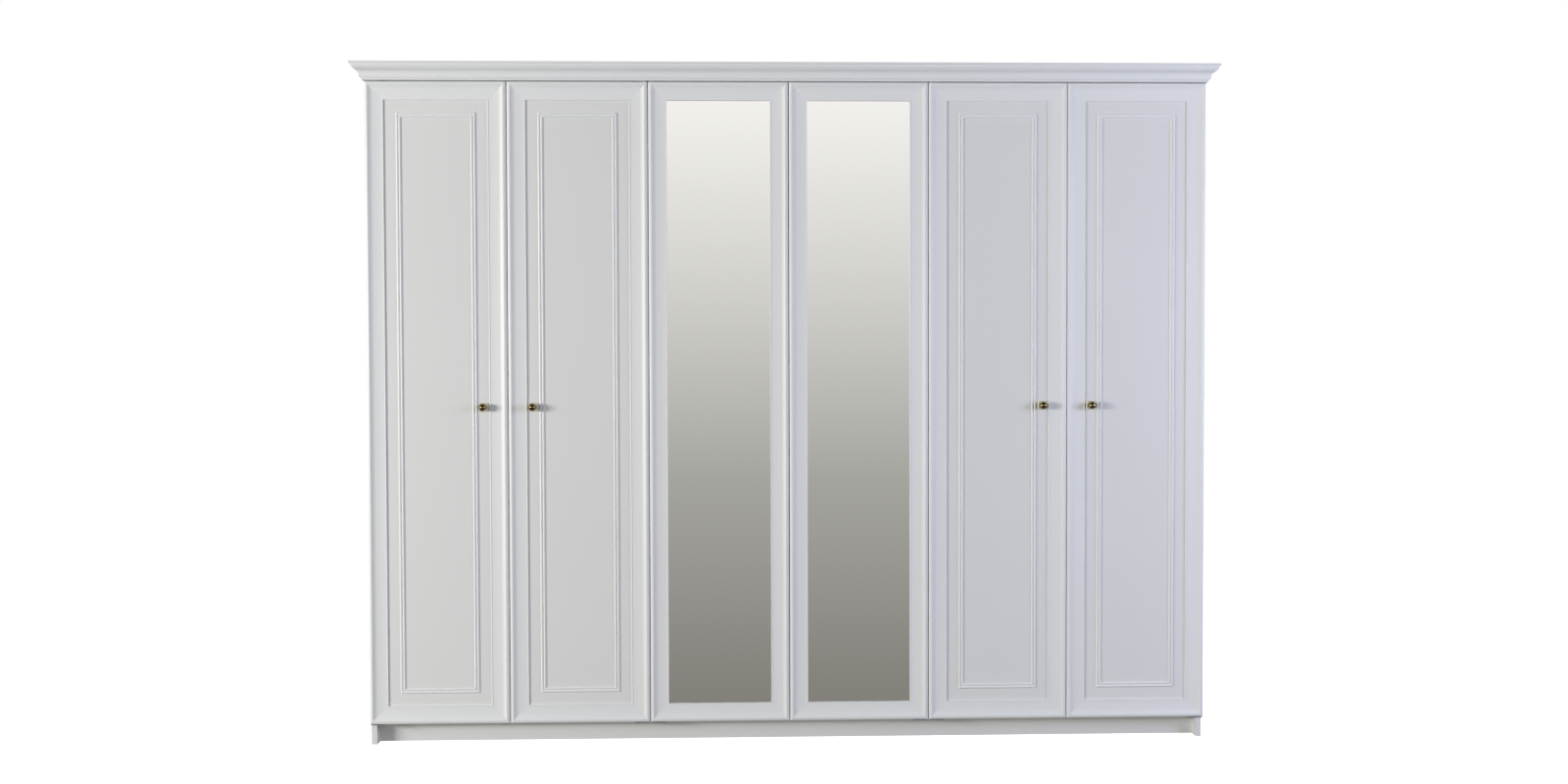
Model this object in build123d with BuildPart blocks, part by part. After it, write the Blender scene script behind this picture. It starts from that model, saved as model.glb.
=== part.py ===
from build123d import *
import os

os.makedirs("parts", exist_ok=True)

# A wardrobe of three two-door cabinets bolted side by side under one cornice.
# X runs across the front, Y from front to back and Z up, in mm. The origin is on
# the floor, in the middle of the overall width and depth.

# Carcass
cabinets = ["left", "middle", "right"]
cabinet_width = 900
carcass_height = 2130
carcass_depth = 575
board = 18
plinth_height = 68
plinth_setback = 42
back_board = 4
back_inset = 12
groove_depth = 8
fit = 0.2

# Doors
door_thickness = 22
door_gap = 3
door_standoff = 3
bar_width = 58
bar_rebate = 10
panel_depth = 11
panel_thickness = 8
mirror_thickness = 4
edge_round = 1.2
crest_width = 9
crest_fall = 3
crest_bulge = 0.64
shoulder_width = 2
shoulder_drop = 0.9
shoulder_bulge = 0.2
bar_cove_width = 10.5
bar_cove_drop = 4.5
bar_cove_hollow = 0.4
slope_run = 28.5
slope_drop = 2.1
slope_hollow = 0.5
lip_width = 3.5
lip_rise = 0.9
lip_bevel = 0.6

# Planted bead on the panelled doors
bead_margin = 39
bead_width = 16
bead_base = 1.2
bead_rise = 2.6
bead_groove = 1.6

# Knobs
knob_height = 1089
knob_plate_size = 28
knob_plate_thickness = 3
knob_plate_round = 1
ball_radius = 12.5
neck_radius = 4.5
neck_flare = 6
neck_length = 8
stud_radius = 2
nut_radius = 4
nut_thickness = 2.5
stud_clearance = 0.2

# Pivot hinges
pivot_inset = 7
pin_radius = 3
pin_clearance = 0.05
pin_reach = 10
plate_thickness = 2
plate_clearance = 1
plate_arm_width = 10
plate_foot_width = 28
plate_foot_length = 50
plate_side_gap = 4

# Cornice
cornice_overhang = 37
cornice_height = 54
cornice_foot_depth = 45
cornice_foot_height = 16
cornice_wall = 18
fascia_height = 6
fascia_step = 4
ovolo_height = 19
ovolo_run = 13
ovolo_bulge = 3
quirk = 1.5
cove_height = 16.5
cove_run = 7
cove_hollow = 2
base_step = 3.5
base_drop = 2
base_fillet = 4
base_out = 4
base_edge = 2.5
base_hollow = 1

# Fittings inside
hat_space = 330
shelf_setback = 20
shelf_side_gap = 1
middle_shelf_count = 4
shelf_pin_radius = 2.5
shelf_pin_depth = 10
shelf_pin_front = 60
shelf_pin_rear = 90
shelf_pin_pad = (8, 7, 4)
pin_fit = 0.05
rail_drop = 60
rail_radius = 12.5
rail_wall = 1.5
rail_end_gap = 0.5
socket_flange_radius = 18
socket_flange = 3
socket_radius = 15
socket_length = 12
socket_fit = 0.1
bolt_radius = 4
bolt_head_radius = 8
bolt_head = 2.5
bolt_front = 60
bolt_rear = 100
bolt_from_floor = 300
bolt_from_top = 250

# Catches
catch_inset = 60
catch_size = (46, 30, 14)
strike_size = (40, 1.5, 12)
catch_clearance = 0.3
latch_size = (14, 60, 14)
latch_setback = 1
plunger_radius = 4
plunger_clearance = 0.05
plunger_hold = 12
plunger_travel = 3
plunger_spare = 2

# Wall brackets, on top of the outer cabinets
bracket_width = 40
bracket_foot = 45
bracket_height = 45
bracket_thickness = 2
bracket_hole_radius = 3.2
bracket_hole_height = 27
bracket_screw_inset = 30
bracket_screw_radius = 2.2
bracket_screw_head_radius = 4
bracket_screw_head = 2.5
bracket_screw_depth = 14

# Places worked out from the sizes
body_width = len(cabinets) * cabinet_width
total_depth = cornice_overhang + door_thickness + door_standoff + carcass_depth
back_y = total_depth / 2
carcass_front_y = back_y - carcass_depth
door_back_y = carcass_front_y - door_standoff
door_front_y = door_back_y - door_thickness
door_width = cabinet_width / 2 - door_gap
plinth_front_y = carcass_front_y + plinth_setback
plinth_back_y = plinth_front_y + board
door_bottom = plinth_height + plate_thickness + plate_clearance
door_top = carcass_height - plate_thickness - plate_clearance
panel_front_y = door_back_y - panel_depth
floor_top = plinth_height + board
ceiling = carcass_height - board
back_board_y = back_y - back_inset - back_board
hat_shelf_z = ceiling - hat_space - board
shelf_front_y = carcass_front_y + shelf_setback
rail_y = (carcass_front_y + back_board_y) / 2
rail_z = hat_shelf_z - rail_drop
pivot_y = door_front_y + pivot_inset
shelf_step = (ceiling - floor_top) / (middle_shelf_count + 1)
middle_shelf_heights = [floor_top + shelf_step * n for n in range(1, middle_shelf_count + 1)]
FRONT = (0, -1, 0)
BACK = (0, 1, 0)


def block(low, high, mode=Mode.ADD):
    """A box between two opposite corners, in the part that is open."""
    size = [abs(b - a) for a, b in zip(low, high)]
    middle = [(a + b) / 2 for a, b in zip(low, high)]
    with Locations(tuple(middle)):
        Box(*size, mode=mode)


def rod(start, direction, radius, length, mode=Mode.ADD):
    """A cylinder from a point along a direction, in the part that is open."""
    with Locations(Plane(origin=start, z_dir=direction)):
        Cylinder(radius, length, align=(Align.CENTER, Align.CENTER, Align.MIN), mode=mode)


def save(part, label):
    part.label = label
    export_step(part, f"parts/{label}.step")


def cabinet_left(index):
    return -body_width / 2 + cabinet_width * index


def side_faces(index):
    """The X of a cabinet's two inner side faces, each with the way into its side board."""
    left = cabinet_left(index) + board
    right = cabinet_left(index) + cabinet_width - board
    return [(left, -1), (right, 1)]


# ---------------------------------------------------------------- doors' places


def door_place(number):
    """A door's outer edge, the way from that edge to its free edge, and its pivot's X."""
    cabinet = (number - 1) // 2
    if number % 2 == 1:
        edge, inward = cabinet_left(cabinet) + door_gap / 2, 1
    else:
        edge, inward = cabinet_left(cabinet) + cabinet_width - door_gap / 2, -1
    return edge, inward, edge + inward * pivot_inset


def from_free_edge(number, distance):
    """The X that lies a distance in from a door's free edge."""
    edge, inward, _ = door_place(number)
    return edge + inward * (door_width - distance)


panelled_doors = [1, 2, 5, 6]
mirror_doors = [3, 4]
all_doors = panelled_doors + mirror_doors
knob_inset = bar_width + bead_margin / 2

# ---------------------------------------------------------------- fasteners and pins


def shelf_pin_places(index):
    """Where a cabinet's shelf pins enter its sides: X, way into the board, Y and shelf height."""
    heights = middle_shelf_heights if cabinets[index] == "middle" else [hat_shelf_z]
    rows = [carcass_front_y + shelf_pin_front, back_y - shelf_pin_rear]
    return [(x, way, y, z) for x, way in side_faces(index) for y in rows for z in heights]


def bolt_places():
    """The Y and Z of the bolts through each pair of touching sides."""
    rows = [carcass_front_y + bolt_front, back_y - bolt_rear]
    return [(y, z) for y in rows for z in (bolt_from_floor, carcass_height - bolt_from_top)]


def bracket_places():
    """The X of the wall brackets, over the middles of the outer cabinets."""
    return [cabinet_left(index) + cabinet_width / 2 for index in (0, len(cabinets) - 1)]


# ---------------------------------------------------------------- carcass


def plate_foot(number):
    """The X range of a pivot plate's foot, beside the side board."""
    edge, inward, _ = door_place(number)
    near = edge - inward * door_gap / 2 + inward * (board + plate_side_gap)
    return sorted((near, near + inward * plate_foot_width))


def side_board(index, inner_x, way):
    """One upright of a cabinet. Where two cabinets meet it has bolt holes and a plinth notch."""
    outer_x = inner_x + way * board
    with BuildPart() as side:
        block((inner_x, carcass_front_y, 0), (outer_x, back_y, carcass_height))
        block(
            (inner_x, back_board_y - fit, floor_top - groove_depth),
            (inner_x + way * groove_depth, back_board_y + back_board + fit, ceiling + groove_depth),
            mode=Mode.SUBTRACT,
        )
        for x, pin_way, y, z in shelf_pin_places(index):
            if pin_way == way:
                rod((x, y, z - shelf_pin_radius), (way, 0, 0), shelf_pin_radius, shelf_pin_depth,
                    mode=Mode.SUBTRACT)
        if abs(outer_x) < body_width / 2 - board:
            block(
                (inner_x, carcass_front_y, 0),
                (outer_x, plinth_back_y, plinth_height),
                mode=Mode.SUBTRACT,
            )
            for y, z in bolt_places():
                rod((inner_x, y, z), (way, 0, 0), bolt_radius + fit, board, mode=Mode.SUBTRACT)
    return side.part


def level_board(index, low_z, at_top):
    """A cabinet's top or bottom board, grooved for the back and let in for the pivot plates."""
    left, right = cabinet_left(index) + board, cabinet_left(index) + cabinet_width - board
    groove_z = low_z if at_top else low_z + board
    groove_end = groove_z + (groove_depth if at_top else -groove_depth)
    plate_face = low_z + board if at_top else low_z
    plate_end = plate_face + (-plate_thickness if at_top else plate_thickness)
    with BuildPart() as level:
        block((left, carcass_front_y, low_z), (right, back_y, low_z + board))
        block(
            (left, back_board_y - fit, groove_z),
            (right, back_board_y + back_board + fit, groove_end),
            mode=Mode.SUBTRACT,
        )
        for number in (2 * index + 1, 2 * index + 2):
            foot_low, foot_high = plate_foot(number)
            block(
                (foot_low - fit, carcass_front_y, plate_face),
                (foot_high + fit, carcass_front_y + plate_foot_length + fit, plate_end),
                mode=Mode.SUBTRACT,
            )
        if at_top and index in (0, len(cabinets) - 1):
            screw_x = cabinet_left(index) + cabinet_width / 2
            rod((screw_x, back_y - bracket_screw_inset, plate_face), (0, 0, -1),
                bracket_screw_radius, bracket_screw_depth, mode=Mode.SUBTRACT)
    return level.part


for index, name in enumerate(cabinets):
    (left_x, left_way), (right_x, right_way) = side_faces(index)
    save(side_board(index, left_x, left_way), f"{name}_cabinet_left_side")
    save(side_board(index, right_x, right_way), f"{name}_cabinet_right_side")
    save(level_board(index, ceiling, True), f"{name}_cabinet_top")
    save(level_board(index, plinth_height, False), f"{name}_cabinet_bottom")
    with BuildPart() as back:
        tongue = groove_depth - fit
        block(
            (left_x - tongue, back_board_y, floor_top - tongue),
            (right_x + tongue, back_board_y + back_board, ceiling + tongue),
        )
    save(back.part, f"{name}_cabinet_back")

with BuildPart() as plinth_board:
    plinth_ends = side_faces(0)[0][0], side_faces(len(cabinets) - 1)[1][0]
    block((plinth_ends[0], plinth_front_y, 0), (plinth_ends[1], plinth_back_y, plinth_height))
save(plinth_board.part, "plinth_board")

# ---------------------------------------------------------------- moulded bars


def mitred_bar(corner, along, inward, outline, length, overshoot=0, mitres=(True, True), bores=()):
    """A moulded bar from a corner, with 45 degree ends, and with any pivot bores drilled in it.

    The outline's X runs inward from the corner and its Y runs up from the bar's seat.
    """
    along, inward, corner = Vector(along), Vector(inward), Vector(corner)
    start = corner - along * overshoot * mitres[0]
    with BuildPart() as bar:
        with BuildSketch(Plane(origin=start, x_dir=inward, z_dir=along)):
            add(outline)
        extrude(amount=length + overshoot * sum(mitres))
        if mitres[0]:
            split(bisect_by=Plane(origin=corner, z_dir=along - inward))
        if mitres[1]:
            split(bisect_by=Plane(origin=corner + along * length, z_dir=-along - inward))
        for point, direction, radius, depth in bores:
            rod(point, direction, radius, depth, mode=Mode.SUBTRACT)
    return bar.part


def mitred_frame(low, high, seat_y, outline, bores=()):
    """Four mitred bars round a rectangle in the door's plane, as one group of solids."""
    (x0, z0), (x1, z1) = low, high
    width, height = x1 - x0, z1 - z0
    bars = [
        mitred_bar((x0, seat_y, z0), (1, 0, 0), (0, 0, 1), outline, width, bores=bores),
        mitred_bar((x1, seat_y, z0), (0, 0, 1), (-1, 0, 0), outline, height, bores=bores),
        mitred_bar((x1, seat_y, z1), (-1, 0, 0), (0, 0, -1), outline, width, bores=bores),
        mitred_bar((x0, seat_y, z1), (0, 0, -1), (1, 0, 0), outline, height, bores=bores),
    ]
    return Compound([solid for bar in bars for solid in bar.solids()])


def beside_chord(start, end, distance):
    """The point a distance to the left of the middle of the line from start to end."""
    start, end = Vector(*start), Vector(*end)
    way = (end - start).normalized()
    middle = (start + end) / 2 + Vector(-way.Y, way.X) * distance
    return (middle.X, middle.Y)


def door_bar_outline():
    """Round crest at the edge, a cove, a long hollow slope, a small lip and a rear rebate."""
    crest_side = (0, door_thickness - crest_fall)
    crest_top = (crest_width, door_thickness)
    cove_top = (crest_top[0] + shoulder_width, crest_top[1] - shoulder_drop)
    cove_foot = (cove_top[0] + bar_cove_width, cove_top[1] - bar_cove_drop)
    slope_foot = (cove_foot[0] + slope_run, cove_foot[1] - slope_drop)
    lip_start = (bar_width - lip_width, slope_foot[1])
    lip_top = slope_foot[1] + lip_rise
    arcs = (
        (crest_side, crest_top, crest_bulge),
        (crest_top, cove_top, shoulder_bulge),
        (cove_top, cove_foot, -bar_cove_hollow),
        (cove_foot, slope_foot, -slope_hollow),
    )
    with BuildSketch() as outline:
        with BuildLine():
            for start, end, bulge in arcs:
                ThreePointArc(start, beside_chord(start, end, bulge), end)
            Polyline(
                slope_foot,
                lip_start,
                (lip_start[0] + lip_bevel, lip_top),
                (bar_width - lip_bevel, lip_top),
                (bar_width, lip_top - lip_bevel),
                (bar_width, panel_depth),
                (bar_width - bar_rebate, panel_depth),
                (bar_width - bar_rebate, 0),
                (0, 0),
                crest_side,
            )
        make_face()
        outer_corner = outline.vertices().sort_by_distance(crest_side)[0]
        fillet(outer_corner, radius=edge_round)
    return outline.sketch


def bead_outline():
    """Two round beads side by side on a thin base."""
    half = (bead_width - bead_groove) / 2
    crown = bead_base + bead_rise
    with BuildSketch() as outline:
        with BuildLine():
            Polyline((bead_width, bead_base), (bead_width, 0), (0, 0), (0, bead_base))
            ThreePointArc((0, bead_base), (half / 2, crown), (half, bead_base))
            Line((half, bead_base), (half + bead_groove, bead_base))
            ThreePointArc(
                (half + bead_groove, bead_base), (bead_width - half / 2, crown), (bead_width, bead_base)
            )
        make_face()
    return outline.sketch


def cornice_outline():
    """A fascia over an ovolo, a cove and a small base moulding, with a foot on the carcass."""
    ovolo_top = (fascia_step - cornice_overhang, cornice_height - fascia_height)
    ovolo_foot = (ovolo_top[0] + ovolo_run, ovolo_top[1] - ovolo_height)
    cove_top = (ovolo_foot[0] + quirk, ovolo_foot[1])
    cove_foot = (cove_top[0] + cove_run, cove_top[1] - cove_height)
    step_z = cove_foot[1] - base_drop
    base_x = cove_foot[0] + base_step
    base_top = (base_x, step_z - base_fillet)
    base_foot = (-base_out, base_edge)
    rear = cove_foot[0] + cornice_wall
    with BuildSketch() as outline:
        with BuildLine():
            Polyline(
                ovolo_top,
                (-cornice_overhang, ovolo_top[1]),
                (-cornice_overhang, cornice_height),
                (rear, cornice_height),
                (rear, cornice_foot_height),
                (cornice_foot_depth, cornice_foot_height),
                (cornice_foot_depth, 0),
                (-base_out, 0),
                base_foot,
            )
            ThreePointArc(base_foot, beside_chord(base_foot, base_top, -base_hollow), base_top)
            Polyline(base_top, (base_x, step_z), (cove_foot[0], step_z), cove_foot)
            ThreePointArc(cove_foot, beside_chord(cove_foot, cove_top, -cove_hollow), cove_top)
            Line(cove_top, ovolo_foot)
            ThreePointArc(ovolo_foot, beside_chord(ovolo_foot, ovolo_top, ovolo_bulge), ovolo_top)
        make_face()
    return outline.sketch


half_width = body_width / 2
cornice_z = carcass_height
return_length = back_y - door_front_y
cornice_section = cornice_outline()
cornice_front = mitred_bar(
    (-half_width, door_front_y, cornice_z), (1, 0, 0), BACK, cornice_section, body_width,
    overshoot=cornice_overhang,
)
cornice_left_return = mitred_bar(
    (-half_width, back_y, cornice_z), FRONT, (1, 0, 0), cornice_section, return_length,
    overshoot=cornice_overhang, mitres=(False, True),
)
cornice_right_return = mitred_bar(
    (half_width, door_front_y, cornice_z), BACK, (-1, 0, 0), cornice_section, return_length,
    overshoot=cornice_overhang, mitres=(True, False),
)
save(cornice_front, "cornice_front")
save(cornice_left_return, "cornice_left_return")
save(cornice_right_return, "cornice_right_return")

# ---------------------------------------------------------------- doors


def pivot_bores(number):
    """The two holes that take a door's pivot pins, one in its top edge and one in its bottom."""
    _, _, pivot_x = door_place(number)
    depth = pin_reach + plate_clearance
    radius = pin_radius + pin_clearance
    return [
        ((pivot_x, pivot_y, door_bottom), (0, 0, 1), radius, depth),
        ((pivot_x, pivot_y, door_top), (0, 0, -1), radius, depth),
    ]


def door_corners(number, inset=0):
    """A door's lower left and upper right corners, moved in all round by an inset."""
    x0, x1 = sorted((door_place(number)[0], from_free_edge(number, 0)))
    return (x0 + inset, door_bottom + inset), (x1 - inset, door_top - inset)


def infill(number, front_y, thickness, knob_hole=False):
    """A sheet in the rebate of a door's frame."""
    (x0, z0), (x1, z1) = door_corners(number, bar_width - bar_rebate + fit)
    with BuildPart() as sheet:
        block((x0, front_y, z0), (x1, front_y + thickness, z1))
        if knob_hole:
            rod((from_free_edge(number, knob_inset), front_y, knob_height), BACK,
                stud_radius + stud_clearance, thickness, mode=Mode.SUBTRACT)
    return sheet.part


def knob(number):
    """A ball on a flared neck, with a stud through its plate and panel, and the nut behind."""
    knob_x = from_free_edge(number, knob_inset)
    neck_end = knob_plate_thickness + neck_length
    ball_centre = neck_end + (ball_radius**2 - neck_radius**2) ** 0.5
    neck_middle = knob_plate_thickness + neck_length / 2
    stud_end = -panel_thickness - nut_thickness
    # The profile's Y runs forward from the panel's face.
    profile_plane = Plane(origin=(knob_x, panel_front_y, knob_height), x_dir=(1, 0, 0), z_dir=(0, 0, -1))
    with BuildPart() as turned:
        with BuildSketch(profile_plane):
            with BuildLine():
                Polyline(
                    (0, ball_centre + ball_radius),
                    (0, stud_end),
                    (stud_radius, stud_end),
                    (stud_radius, knob_plate_thickness),
                    (neck_flare, knob_plate_thickness),
                )
                ThreePointArc(
                    (neck_flare, knob_plate_thickness),
                    (neck_radius, neck_middle),
                    (neck_radius, neck_end),
                )
                ThreePointArc(
                    (neck_radius, neck_end), (ball_radius, ball_centre), (0, ball_centre + ball_radius)
                )
            make_face()
        revolve(axis=Axis((knob_x, panel_front_y, knob_height), FRONT))
    nut_start = (knob_x, panel_front_y + panel_thickness, knob_height)
    with BuildPart() as nut:
        rod(nut_start, BACK, nut_radius, nut_thickness)
        rod(nut_start, BACK, stud_radius, nut_thickness, mode=Mode.SUBTRACT)
    return Compound([turned.part.solid(), nut.part.solid()])


def knob_plate(number):
    """A square plate with softened front edges, held between the knob and the panel."""
    knob_x = from_free_edge(number, knob_inset)
    half = knob_plate_size / 2
    with BuildPart() as plate:
        block(
            (knob_x - half, panel_front_y - knob_plate_thickness, knob_height - half),
            (knob_x + half, panel_front_y, knob_height + half),
        )
        front = plate.faces().sort_by(Axis.Y)[0]
        chamfer(front.edges(), length=knob_plate_round)
        rod((knob_x, panel_front_y, knob_height), FRONT, stud_radius + stud_clearance,
            knob_plate_thickness, mode=Mode.SUBTRACT)
    return plate.part


def strike(number):
    """The steel plate on a door's back that its magnetic catch holds."""
    width, thickness, height = strike_size
    middle_x = from_free_edge(number, catch_inset)
    top = ceiling - (catch_size[2] - height) / 2
    with BuildPart() as plate:
        block(
            (middle_x - width / 2, door_back_y, top - height),
            (middle_x + width / 2, door_back_y + thickness, top),
        )
    return plate.part


bar_section = door_bar_outline()
bead_section = bead_outline()

for number in all_doors:
    low, high = door_corners(number)
    save(mitred_frame(low, high, door_back_y, bar_section, pivot_bores(number)), f"door_{number}_frame")

for number in panelled_doors:
    low, high = door_corners(number, bar_width + bead_margin)
    save(infill(number, panel_front_y, panel_thickness, knob_hole=True), f"door_{number}_panel")
    save(mitred_frame(low, high, panel_front_y, bead_section), f"door_{number}_bead")
    save(knob(number), f"door_{number}_knob")
    save(knob_plate(number), f"door_{number}_knob_plate")
    save(strike(number), f"door_{number}_strike")

for number in mirror_doors:
    save(infill(number, panel_front_y, mirror_thickness), f"door_{number}_mirror")
    backing_thickness = panel_thickness - mirror_thickness
    backing = infill(number, panel_front_y + mirror_thickness, backing_thickness)
    save(backing, f"door_{number}_mirror_backing")

# ---------------------------------------------------------------- pivot hinges


def pivot_plate(number, face_z, way):
    """A cranked steel plate over or under a door, with its pin pointing into the door."""
    _, inward, pivot_x = door_place(number)
    foot_low, foot_high = plate_foot(number)
    far_x = foot_high if inward > 0 else foot_low
    arm_front = pivot_y - plate_arm_width / 2
    inner_z = face_z + way * plate_thickness
    with BuildPart() as plate:
        block(
            (pivot_x - inward * plate_arm_width / 2, arm_front, face_z),
            (far_x, arm_front + plate_arm_width, inner_z),
        )
        block((foot_low, arm_front, face_z), (foot_high, carcass_front_y + plate_foot_length, inner_z))
        rod((pivot_x, pivot_y, inner_z), (0, 0, way), pin_radius, plate_clearance + pin_reach)
    return plate.part.solid()


save(
    Compound(
        [pivot_plate(number, carcass_height, -1) for number in all_doors]
        + [pivot_plate(number, plinth_height, 1) for number in all_doors]
    ),
    "pivot_plates",
)

# ---------------------------------------------------------------- shelves and rails


def shelf(index, low_z):
    """A shelf resting on its pins, clear of the sides and the back."""
    (left_x, _), (right_x, _) = side_faces(index)
    block(
        (left_x + shelf_side_gap, shelf_front_y, low_z),
        (right_x - shelf_side_gap, back_board_y - shelf_side_gap, low_z + board),
    )


outer_cabinets = [0, len(cabinets) - 1]
middle_cabinet = cabinets.index("middle")

with BuildPart() as hat_shelves:
    for index in outer_cabinets:
        shelf(index, hat_shelf_z)
save(hat_shelves.part, "hat_shelves")

with BuildPart() as middle_shelves:
    for height in middle_shelf_heights:
        shelf(middle_cabinet, height)
save(middle_shelves.part, "middle_shelves")

with BuildPart() as shelf_pins:
    pad_out, pad_wide, pad_tall = shelf_pin_pad
    for index in range(len(cabinets)):
        for x, way, y, z in shelf_pin_places(index):
            rod((x, y, z - shelf_pin_radius), (way, 0, 0), shelf_pin_radius - pin_fit, shelf_pin_depth)
            block((x - way * pad_out, y - pad_wide / 2, z - pad_tall), (x, y + pad_wide / 2, z))
save(shelf_pins.part, "shelf_pins")

with BuildPart() as clothes_rails:
    for index in outer_cabinets:
        (left_x, _), (right_x, _) = side_faces(index)
        rail_start = (left_x + socket_flange + rail_end_gap, rail_y, rail_z)
        rail_length = right_x - left_x - 2 * (socket_flange + rail_end_gap)
        rod(rail_start, (1, 0, 0), rail_radius, rail_length)
        rod(rail_start, (1, 0, 0), rail_radius - rail_wall, rail_length, mode=Mode.SUBTRACT)
save(clothes_rails.part, "clothes_rails")

with BuildPart() as rail_sockets:
    for index in outer_cabinets:
        for x, way in side_faces(index):
            into_cabinet = (-way, 0, 0)
            cup_start = (x - way * socket_flange, rail_y, rail_z)
            cup_length = socket_length - socket_flange
            rod((x, rail_y, rail_z), into_cabinet, socket_flange_radius, socket_flange)
            rod(cup_start, into_cabinet, socket_radius, cup_length)
            rod(cup_start, into_cabinet, rail_radius + socket_fit, cup_length, mode=Mode.SUBTRACT)
save(rail_sockets.part, "rail_sockets")

with BuildPart() as cabinet_bolts:
    for index in range(1, len(cabinets)):
        seam_x = cabinet_left(index)
        for y, z in bolt_places():
            rod((seam_x - board, y, z), (1, 0, 0), bolt_radius, 2 * board)
            rod((seam_x - board, y, z), (-1, 0, 0), bolt_head_radius, bolt_head)
            rod((seam_x + board, y, z), (1, 0, 0), bolt_head_radius, bolt_head)
save(cabinet_bolts.part, "cabinet_bolts")

# ---------------------------------------------------------------- catches

plunger_tip_y = door_back_y + catch_clearance
latch_front_y = carcass_front_y + latch_setback
latch_middle_z = ceiling - latch_size[2] / 2
plunger_length = latch_front_y - plunger_tip_y + plunger_hold

with BuildPart() as catch_bodies:
    for number in panelled_doors:
        width, depth, height = catch_size
        middle_x = from_free_edge(number, catch_inset)
        front_y = door_back_y + strike_size[1] + catch_clearance
        block(
            (middle_x - width / 2, front_y, ceiling - height),
            (middle_x + width / 2, front_y + depth, ceiling),
        )
    for number in mirror_doors:
        width, depth, height = latch_size
        middle_x = from_free_edge(number, catch_inset)
        block(
            (middle_x - width / 2, latch_front_y, ceiling - height),
            (middle_x + width / 2, latch_front_y + depth, ceiling),
        )
        rod((middle_x, latch_front_y, latch_middle_z), BACK, plunger_radius + plunger_clearance,
            plunger_hold + plunger_travel + plunger_spare, mode=Mode.SUBTRACT)
save(catch_bodies.part, "catch_bodies")

for number in mirror_doors:
    with BuildPart() as plunger:
        rod((from_free_edge(number, catch_inset), plunger_tip_y, latch_middle_z), BACK,
            plunger_radius, plunger_length)
    save(plunger.part, f"door_{number}_latch_plunger")

# ---------------------------------------------------------------- wall brackets


def wall_bracket(middle_x):
    """An angle on the carcass top, drilled for a wall screw, and the screw that holds it down."""
    low_x, high_x = middle_x - bracket_width / 2, middle_x + bracket_width / 2
    foot_top = carcass_height + bracket_thickness
    screw_y = back_y - bracket_screw_inset
    with BuildPart() as angle:
        block((low_x, back_y - bracket_foot, carcass_height), (high_x, back_y, foot_top))
        block((low_x, back_y - bracket_thickness, carcass_height),
              (high_x, back_y, carcass_height + bracket_height))
        rod((middle_x, back_y, carcass_height + bracket_hole_height), FRONT,
            bracket_hole_radius, bracket_thickness, mode=Mode.SUBTRACT)
        rod((middle_x, screw_y, foot_top), (0, 0, -1), bracket_screw_radius, bracket_thickness,
            mode=Mode.SUBTRACT)
    with BuildPart() as screw:
        rod((middle_x, screw_y, foot_top), (0, 0, 1), bracket_screw_head_radius, bracket_screw_head)
        rod((middle_x, screw_y, foot_top), (0, 0, -1), bracket_screw_radius - pin_fit,
            bracket_screw_depth)
    return [angle.part.solid(), screw.part.solid()]


save(Compound([solid for x in bracket_places() for solid in wall_bracket(x)]), "wall_brackets")
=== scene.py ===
"""Finishes, turned and moulded pieces, fixings and a stage for a six-door wardrobe."""

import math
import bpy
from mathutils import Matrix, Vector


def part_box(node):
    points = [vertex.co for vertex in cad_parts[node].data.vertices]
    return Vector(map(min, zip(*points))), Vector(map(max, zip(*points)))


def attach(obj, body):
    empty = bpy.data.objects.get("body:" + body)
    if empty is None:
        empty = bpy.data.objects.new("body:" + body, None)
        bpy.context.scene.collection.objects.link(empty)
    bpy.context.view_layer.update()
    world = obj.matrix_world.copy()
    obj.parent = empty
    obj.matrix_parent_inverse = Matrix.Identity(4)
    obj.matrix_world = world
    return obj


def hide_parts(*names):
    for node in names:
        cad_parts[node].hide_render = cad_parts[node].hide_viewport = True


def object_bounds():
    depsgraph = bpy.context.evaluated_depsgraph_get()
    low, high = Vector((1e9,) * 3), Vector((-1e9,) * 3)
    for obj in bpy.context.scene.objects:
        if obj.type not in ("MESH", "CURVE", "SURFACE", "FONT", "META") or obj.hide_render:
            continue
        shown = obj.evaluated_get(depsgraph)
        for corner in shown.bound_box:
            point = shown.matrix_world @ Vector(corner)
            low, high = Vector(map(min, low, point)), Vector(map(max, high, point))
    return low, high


bl_info = {
    "name": "Six-Door Wardrobe",
    "version": (1, 0, 0),
    "blender": (4, 5, 0),
    "location": "3D Viewport > Sidebar > Wardrobe",
    "description": "Builds the mouldings, knobs and fixings of a wardrobe, finishes it and lights it",
    "category": "Object",
}

import bmesh
import bpy
from mathutils import Matrix, Vector

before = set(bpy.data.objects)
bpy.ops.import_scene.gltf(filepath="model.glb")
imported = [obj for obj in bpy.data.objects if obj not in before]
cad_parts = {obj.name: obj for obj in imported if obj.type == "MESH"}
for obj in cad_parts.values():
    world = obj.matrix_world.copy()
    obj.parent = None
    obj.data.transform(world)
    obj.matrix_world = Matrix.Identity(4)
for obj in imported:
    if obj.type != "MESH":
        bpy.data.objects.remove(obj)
CAD_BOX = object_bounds()

MM = 0.001
PANELLED_DOORS = (1, 2, 5, 6)
MIRROR_DOORS = (3, 4)
ALL_DOORS = (1, 2, 3, 4, 5, 6)
CABINETS = ("left", "middle", "right")


def linear_colour(hex_colour):
    """A linear RGB triple from an sRGB hex string."""
    channels = [int(hex_colour[i : i + 2], 16) / 255 for i in (0, 2, 4)]
    return tuple(c / 12.92 if c <= 0.04045 else ((c + 0.055) / 1.055) ** 2.4 for c in channels)


# ---------------------------------------------------------------- sizes and colours


def colour_property(name, description, hex_colour):
    return bpy.props.FloatVectorProperty(
        name=name,
        description=description,
        subtype="COLOR",
        size=3,
        min=0.0,
        max=1.0,
        default=linear_colour(hex_colour),
    )


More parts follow.
